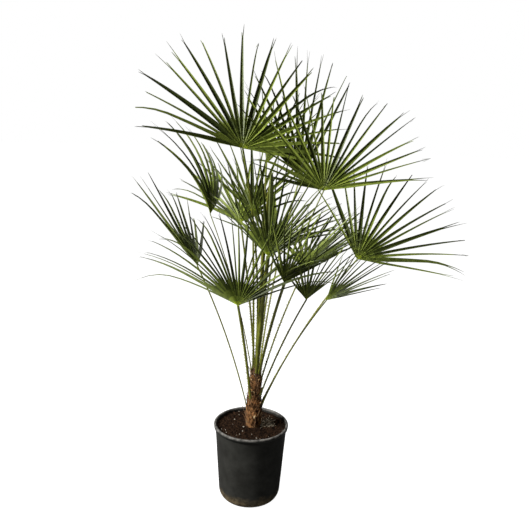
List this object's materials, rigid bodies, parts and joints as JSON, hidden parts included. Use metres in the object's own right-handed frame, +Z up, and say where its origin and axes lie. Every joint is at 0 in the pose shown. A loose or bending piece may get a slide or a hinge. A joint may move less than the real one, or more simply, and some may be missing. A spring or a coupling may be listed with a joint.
{
  "type": "potted european fan palm",
  "caption": "Young clumping fan palm with a short fibrous trunk and long-stalked pleated fan leaves, standing in a round tapered black nursery pot.",
  "frame": {"origin": "middle of the pot's flat underside", "axes": "+Z up along the pot's axis, -Y towards the viewer of the picture, +X to the viewer's right"},
  "size_m": [1.1263, 0.9481, 1.6339],
  "materials": {
    "pot": "matte black moulded plastic, dusty and lightly scuffed",
    "soil": "moist dark potting mix with crumbs and a few pale grains",
    "trunk": "brown fibrous old leaf bases",
    "stalk": "satin yellow-green leaf stalk with small teeth",
    "leaf": "leathery mid to dark green blade, pale at the hub"
  },
  "bodies": {
    "root": {"pot": "pot", "soil": "soil", "trunk": "trunk", "spear_leaf": "stalk", "petiole_high_left": "stalk", "petiole_high_back": "stalk", "petiole_high_right": "stalk", "petiole_upper_right": "stalk", "petiole_upper_left": "stalk", "petiole_mid_left": "stalk", "petiole_low_front": "stalk", "petiole_front": "stalk", "petiole_front_right": "stalk", "petiole_low_right": "stalk", "petiole_side_right": "stalk", "petiole_mid_right": "stalk", "petiole_upper_back": "stalk", "petiole_back_left": "stalk", "petiole_back": "stalk", "petiole_back_right": "stalk", "frond_high_left": "leaf", "frond_high_back": "leaf", "frond_high_right": "leaf", "frond_upper_right": "leaf", "frond_upper_left": "leaf", "frond_mid_left": "leaf", "frond_low_front": "leaf", "frond_front": "leaf", "frond_front_right": "leaf", "frond_low_right": "leaf", "frond_side_right": "leaf", "frond_mid_right": "leaf", "frond_upper_back": "leaf", "frond_back_left": "leaf", "frond_back": "leaf", "frond_back_right": "leaf"}
  },
  "joints": []
}
